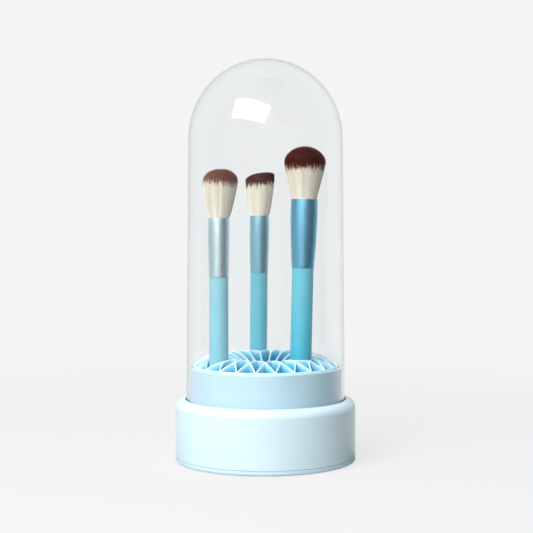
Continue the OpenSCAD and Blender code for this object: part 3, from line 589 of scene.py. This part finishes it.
class Pad:
    """The grip pad's measures, and its mesh as it grows out of closed rings of points."""

    def __init__(self):
        low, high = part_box("grip_pad")
        self.r, self.low_z, self.crest_z = high.x, low.z, high.z
        self.floor_z = low.z + SKIN
        self.rim_r = self.r - RIM_T
        self.steps = 8
        self.turns = PETALS * self.steps
        self.handles = [(*brush_line(b), handle_radius(b)) for b in BRUSHES]
        self.verts, self.faces, self.depth = [], [], []

    def top(self, r):
        """Height of the fins at radius r: a sunken middle, a crest and a falling rim."""
        rise = np.sin(np.pi / 2 * np.minimum(r, CREST_R) / CREST_R) ** STEEPNESS
        inner = self.crest_z - SUNK * (1 - rise)
        outer = self.crest_z - FALL * (np.maximum(0, r - CREST_R) / (self.r - CREST_R)) ** STEEPNESS
        return np.where(r < CREST_R, inner, outer)

    def pushed(self, p):
        """Points moved sideways so that no wall lies inside a handle."""
        for foot, way, radius in self.handles:
            centre = np.array(foot)[:2] + np.outer(p[:, 2] - foot.z, np.array(way)[:2] / way.z)
            off = p[:, :2] - centre
            d = np.linalg.norm(off, axis=1)
            reach = radius * PUSH_REACH
            target = radius + FIN_T / 2 + HANDLE_PLAY
            near = d < reach
            new = target + (reach - target) * (d[near] / reach) ** PUSH_POWER
            new = np.maximum(new, d[near])
            p[near, :2] = centre[near] + off[near] * (new / np.maximum(d[near], 1e-6))[:, None]
        return p

    def add_rings(self, rings, levels, cap):
        """Join closed rings of points into a strip, and close the last with a fan where there is a cap."""
        count = len(rings[0])
        start = len(self.verts)
        for ring, level in zip(rings, levels):
            self.verts.extend(ring)
            self.depth.extend(np.broadcast_to(level, count))
        for i in range(len(rings) - 1):
            for k in range(count):
                n = (k + 1) % count
                a, b = start + i * count, start + (i + 1) * count
                self.faces.append((a + k, a + n, b + n, b + k))
        if cap:
            last = start + (len(rings) - 1) * count
            self.add_fan(last, count, np.mean(rings[-1], axis=0), np.mean(levels[-1]))

    def add_fan(self, first, count, centre, level, down=False):
        """Close the ring of count points that begins at first, with a point in its middle."""
        self.verts.append(centre)
        self.depth.append(level)
        for k in range(count):
            pair = (first + k, first + (k + 1) % count)
            self.faces.append((*(pair[::-1] if down else pair), len(self.verts) - 1))

    def add_cell(self, corners, turn, soften):
        """One cell of the lattice, from the tops of the fins around it down to the skin."""
        spine = subdivided(corners, self.steps)
        radius = np.linalg.norm(spine, axis=1)
        on_rim = radius > 0.985 * self.rim_r * math.cos(PITCH / 2)
        spine[on_rim] *= (self.rim_r / radius[on_rim])[:, None]
        rotation = np.array([[math.cos(turn), math.sin(turn)], [-math.sin(turn), math.cos(turn)]])
        ridge = self.top(np.linalg.norm(spine, axis=1))
        rings, levels = [], []
        for drop, width in CELL_RINGS:
            ring = spine
            if width:
                ring = inset(spine, FIN_T / 2 * width)
                for _ in range(soften):
                    ring = 0.5 * ring + 0.25 * (np.roll(ring, 1, 0) + np.roll(ring, -1, 0))
            z = np.maximum(ridge - drop * MM, self.floor_z)
            rings.append(self.pushed(np.column_stack([ring @ rotation, z])))
            levels.append((ridge - z) / MM)
        self.add_rings(rings, levels, cap=True)

    def add_cells(self):
        petal = [polar(WELL_R, -PITCH / 2), polar(FIN_R, -PITCH / 2), polar(ARM_R, 0),
                 polar(FIN_R, PITCH / 2), polar(WELL_R, PITCH / 2)]
        diamond = [polar(FIN_R, 0), polar(ARM_R, -PITCH / 2), polar(self.rim_r, 0), polar(ARM_R, PITCH / 2)]
        rim_cell = [polar(ARM_R, 0), polar(self.rim_r, -PITCH / 2), polar(self.rim_r, PITCH / 2)]
        for k in range(PETALS):
            self.add_cell(petal, k * PITCH, 2)
            self.add_cell(rim_cell, k * PITCH, 1)
            self.add_cell(diamond, (k + 0.5) * PITCH, 2)

    def circle(self, r, z):
        around = np.arange(self.turns) * (2 * math.pi / self.turns) + PITCH / 2
        return np.column_stack([r * np.cos(around), r * np.sin(around), np.full(self.turns, z)])

    def add_well(self):
        """The open middle."""
        top = float(self.top(np.array(WELL_R)))
        self.add_rings([self.circle(WELL_R, top), self.circle(WELL_R - 0.3 * MM, top - 0.3 * MM),
                        self.circle(WELL_R - 0.6 * MM, top - 3 * MM),
                        self.circle(WELL_R - 0.9 * MM, self.floor_z)], [0, 0.3, 3, 12], cap=True)

    def add_outside(self):
        """The outer wall with its rounded lip, and the underside."""
        top = float(self.top(np.array(self.rim_r)))
        self.add_rings([self.circle(self.r, self.low_z), self.circle(self.r, top - 0.4 * MM),
                        self.circle(self.r - 0.15 * MM, top - 0.1 * MM), self.circle(self.rim_r, top)],
                       [3, 0.4, 0.1, 0], cap=False)
        inner = len(self.verts)
        underside = [self.circle(self.r / 2, self.low_z), self.circle(self.r, self.low_z)]
        self.add_rings(underside, [3, 3], cap=False)
        self.add_fan(inner, self.turns, (0, 0, self.low_z), 3, down=True)


def make_pad():
    pad = Pad()
    pad.add_cells()
    pad.add_well()
    pad.add_outside()
    piece = mesh_object("petal_grip", pad.verts, pad.faces)
    # depth below the fins' tops, which the pad's material turns into a painted highlight on the tops and painted
    # shade down in the cells
    paint(piece, "depth", pad.depth)
    weld(piece, WELD)
    piece.data.shade_smooth()
    stand_for(piece, "grip_pad", "rack", pad_look())


def pad_look():
    """Translucent silicone, coloured by depth below the fins' tops: a painted highlight, near white, along the
    thin top edges, and painted shade that deepens it to a deep blue down in the cells.
    """
    look = Look("petal_silicone", (0.5, 0.8, 0.9), 0.42, IOR=SILICONE_IOR)
    look.set("Subsurface Weight", 0.35)
    look.set("Subsurface Radius", (0.0006, 0.0016, 0.0022))
    look.set("Subsurface Scale", 1.0)
    depth = look.node("Attribute", attribute_name="depth").outputs["Fac"]
    # painted light and shade by depth: near white at the fin tops, darkening to deep blue down in the cells
    look.color(look.ramp(look.ranged(depth, 0, 1, 0, 16), [
        (0.0, (0.80, 0.90, 0.94)), (0.03, (0.55, 0.80, 0.90)), (0.12, (0.28, 0.66, 0.82)),
        (0.3, (0.05, 0.46, 0.70)), (1.0, (0.01, 0.32, 0.58))]))
    look.rough(look.ranged(look.noise(300, 4), 0.36, 0.5))
    return look.bump(look.noise(1200, 2), 0.1, 0.00004).material


# ---- brushes ----

CREAM = (0.99, 0.92, 0.75)
RAGGED_MM = 2.4          # how far the dye's edge wanders over the outside of a tuft
DYE_SPREAD_MM = 0.55     # how far it wanders from fibre to fibre

FIBRES = 5200
FIBRE_STEPS = 7
FIBRE_SIDES = 3
FIBRE_R = 0.085 * MM
FIBRE_ROUND = 0.45       # share of its own roundness in the way that a fibre is lit
FERRULE_WALL = 0.35 * MM
ROOTED = 1.5 * MM        # how far the fibres reach down into the ferrule
CROWDING = 0.38          # below 0.5, so most fibres are near the outside, where they are seen
UNEVEN_MM = (-0.1, 0.22)             # mean and spread of the heights at which fibres end
DRAWN_IN = 0.012         # the most that a fibre lies inside its own radius, as a share of it
STRAY = 0.35 * MM        # how far the inner fibres' ends wander sideways
CORE_SHARE = 0.93        # the core's radius over the tuft's


class Tuft:
    """The measures of one tuft, along its brush from the foot, in metres."""

    def __init__(self, which, width, wide_z, crown, boxy, belly, dyed, tilt,
                 lean=(0.0, 1.0), slant=(0.0, 1.0), flat=1.0, seed=1):
        foot, way = brush_line(which)
        self.which, self.seed, self.flat = which, seed, flat
        self.mouth = brush_height(which, "ferrule", 1)
        self.tip = brush_height(which, "bristles", 1)
        self.width = width * MM / 2
        self.wide = (wide_z * MM - foot.z) / way.z
        self.root = tube_radius(which, "ferrule") - FERRULE_WALL
        self.crown, self.boxy, self.belly_power = crown * MM, boxy, belly
        self.lean, self.lean_power = lean[0] * MM, lean[1]
        self.slant, self.slant_power = slant[0] * MM, slant[1]
        self.dyed, self.tilt = (dyed * MM - foot.z) / way.z, tilt * MM

    def share(self, z):
        """0 at the ferrule's mouth, 1 where the tuft is widest and above."""
        return np.clip((z - self.mouth) / (self.wide - self.mouth), 0, 1)

    def belly(self, z):
        """Radius of the tuft's outside at height z."""
        return self.root + (self.width - self.root) * self.share(z) ** self.belly_power

    def depth(self, z):
        """How flat the tuft is front to back at height z."""
        return 1 + (self.flat - 1) * self.share(z)

    def aside(self, z):
        """How far the tuft has bent to the right at height z."""
        return self.lean * self.share(z) ** self.lean_power

    def end(self, rho, across):
        """Height at which a fibre ends, at share rho of the radius and across to the right."""
        rounded = self.crown * (1 - (1 - np.minimum(rho, 1) ** self.boxy) ** (1 / self.boxy))
        return self.tip - rounded - self.slant * ((1 - across) / 2) ** self.slant_power


def tuft_fibres(tuft, look):
    rng = np.random.default_rng(tuft.seed)
    count = FIBRES
    rho = rng.random(count) ** CROWDING
    phi = rng.random(count) * 2 * np.pi
    across = rho * np.cos(phi)
    start = tuft.mouth - ROOTED
    end = tuft.end(rho, across) + rng.normal(*UNEVEN_MM, count) * MM
    t = np.linspace(0, 1, FIBRE_STEPS)
    z = start + (end - start)[:, None] * t
    stray = STRAY * (t ** 2)[None, :]
    radial = rho[:, None] * tuft.belly(z) * (1 - DRAWN_IN * rng.random(count))[:, None]
    drift = stray * (1 - rho[:, None])
    x = radial * np.cos(phi)[:, None] + tuft.aside(z) + drift * rng.normal(0, 1, count)[:, None]
    y = radial * np.sin(phi)[:, None] * tuft.depth(z) + drift * rng.normal(0, 1, count)[:, None]
    thick = FIBRE_R * rng.uniform(0.8, 1.25, count)[:, None] * np.interp(t, [0, 0.7, 1], [1, 0.9, 0.3])
    turn = rng.random(count) * 2 * np.pi
    verts = np.empty((count, FIBRE_STEPS, FIBRE_SIDES, 3))
    normals = np.empty_like(verts)
    upward = np.sqrt(1 - rho[:, None] ** 2) * np.clip((t - 0.6) / 0.4, 0, 1) ** 2
    for side in range(FIBRE_SIDES):
        a = (turn + 2 * np.pi * side / FIBRE_SIDES)[:, None]
        verts[:, :, side, 0] = x + np.cos(a) * thick
        verts[:, :, side, 1] = y + np.sin(a) * thick
        verts[:, :, side, 2] = z
        normals[:, :, side, 0] = np.cos(phi)[:, None] + FIBRE_ROUND * np.cos(a)
        normals[:, :, side, 1] = np.sin(phi)[:, None] + FIBRE_ROUND * np.sin(a)
        normals[:, :, side, 2] = 2 * upward
    index = np.arange(count * FIBRE_STEPS * FIBRE_SIDES).reshape(count, FIBRE_STEPS, FIBRE_SIDES)
    following = np.roll(index, -1, 2)
    quads = np.stack([index[:, :-1], following[:, :-1], following[:, 1:], index[:, 1:]], -1).reshape(-1, 4)
    caps = np.concatenate([index[:, -1, :], index[:, 0, ::-1]])
    hair = mesh_object(f"{tuft.which}_tuft", verts.reshape(-1, 3).tolist(), quads.tolist() + caps.tolist(),
                       smooth=True)
    # light spreads between fine fibres, so each is lit mostly as the tuft's outside is
    hair.data.normals_split_custom_set_from_vertices(normals.reshape(-1, 3))
    # a few fibres are dyed further down than the rest, so the edge of the dye is ragged
    ragged = rng.normal(0, DYE_SPREAD_MM, count) - rng.exponential(DYE_SPREAD_MM, count)
    line = tuft.dyed + tuft.tilt * across + ragged * MM
    paint(hair, "dye", ((z - line[:, None]) / MM)[:, :, None].repeat(FIBRE_SIDES, 2))
    paint(hair, "tone", rng.random(count).repeat(FIBRE_STEPS * FIBRE_SIDES))
    hair.matrix_world = upright(tuft.which)
    stand_for(hair, f"{tuft.which}_bristles", f"{tuft.which}_brush", look)


def tuft_core(tuft, look):
    """A solid a little inside the tuft, so that nothing shows through between the fibres."""
    rows, turns, rings = 16, 64, 10
    verts, dye = [], []
    for i in range(rows + rings):
        for k in range(turns):
            a = 2 * math.pi * k / turns
            rho = CORE_SHARE
            if i >= rows:
                rho *= math.cos(math.pi / 2 * (i - rows + 1) / (rings + 0.5))
            top = float(tuft.end(rho, rho * math.cos(a))) - 0.5 * MM
            z = tuft.mouth - MM + (top - tuft.mouth + MM) * min(1.0, i / (rows - 1))
            r = float(tuft.belly(z)) * rho
            verts.append((r * math.cos(a) + float(tuft.aside(z)), r * math.sin(a) * float(tuft.depth(z)), z))
            dye.append((z - tuft.dyed - tuft.tilt * rho * math.cos(a)) / MM)
    faces = []
    for i in range(rows + rings - 1):
        below, above = i * turns, (i + 1) * turns
        for k in range(turns):
            n = (k + 1) % turns
            faces.append((below + k, below + n, above + n, above + k))
    faces += [tuple(range(turns))[::-1], tuple((rows + rings - 1) * turns + k for k in range(turns))]
    core = mesh_object(f"{tuft.which}_tuft_core", verts, faces, smooth=True)
    paint(core, "dye", np.array(dye))
    paint(core, "tone", np.full(len(verts), 0.2))
    core.matrix_world = upright(tuft.which)
    core.data.materials.append(look)
    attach(core, f"{tuft.which}_brush")


def bristle_look(name, brown, glow, soft_mm):
    """Two-tone fibre: cream with dyed tips, redder where the dye ends, and each fibre a shade of its own."""
    look = Look(name, CREAM, 0.5, Specular_IOR_Level=0.05)
    look.set("Subsurface Weight", 0.25)
    look.set("Subsurface Radius", (0.0012, 0.001, 0.0008))
    look.set("Subsurface Scale", 1.0)
    streaks = look.ranged(look.noise(1500, 2, (1, 1, 0.05)), -RAGGED_MM, RAGGED_MM, 0.3, 0.7)
    edge = look.node("Math")
    look.link(look.node("Attribute", attribute_name="dye").outputs["Fac"], edge.inputs[0])
    look.link(streaks, edge.inputs[1])
    tone = look.node("Attribute", attribute_name="tone").outputs["Fac"]
    two = look.ramp(look.ranged(edge.outputs[0], 0, 1, -soft_mm, 2.5 * soft_mm),
                    [(0.0, CREAM), (0.28, glow), (0.55, halfway(brown, glow)), (1.0, brown)])
    dull = look.ramp(tone, [(0.0, (0.80, 0.78, 0.74)), (0.25, (0.93, 0.93, 0.92)), (1.0, (1.0, 1.0, 1.0))])
    look.color(look.mix(1.0, two, dull, "MULTIPLY"))
    look.rough(look.ranged(look.noise(900, 3, (1, 1, 0.1)), 0.42, 0.6))
    return look.bump(look.noise(2500, 2, (1, 1, 0.05)), 0.2, 0.00005).material


def make_tufts():
    tufts = (
        (Tuft("left", width=21.3, wide_z=172, crown=8.3, boxy=2.15, belly=0.55, dyed=172.6, tilt=-0.9,
              lean=(1.05, 2.5), slant=(0.3, 1), seed=11),
         bristle_look("left_fibre", (0.115, 0.030, 0.020), (0.40, 0.16, 0.10), 0.9)),
        (Tuft("middle", width=19.1, wide_z=175.3, crown=2.2, boxy=3.4, belly=0.58, dyed=172.2, tilt=0.8,
              lean=(0.2, 1), slant=(3.5, 2.8), flat=0.76, seed=12),
         bristle_look("middle_fibre", (0.045, 0.006, 0.005), (0.34, 0.10, 0.06), 0.6)),
        (Tuft("right", width=25.4, wide_z=184.5, crown=10.1, boxy=1.85, belly=0.95, dyed=181.4, tilt=0.3,
              seed=13),
         bristle_look("right_fibre", (0.042, 0.005, 0.002), (0.36, 0.10, 0.05), 0.7)),
    )
    for tuft, look in tufts:
        tuft_fibres(tuft, look)
        tuft_core(tuft, look)


make_camera()
make_lights()
make_floor()
finish_cad_nodes()
make_dome()
make_pad()
make_tufts()
bpy.context.scene.view_settings.view_transform = "Standard"
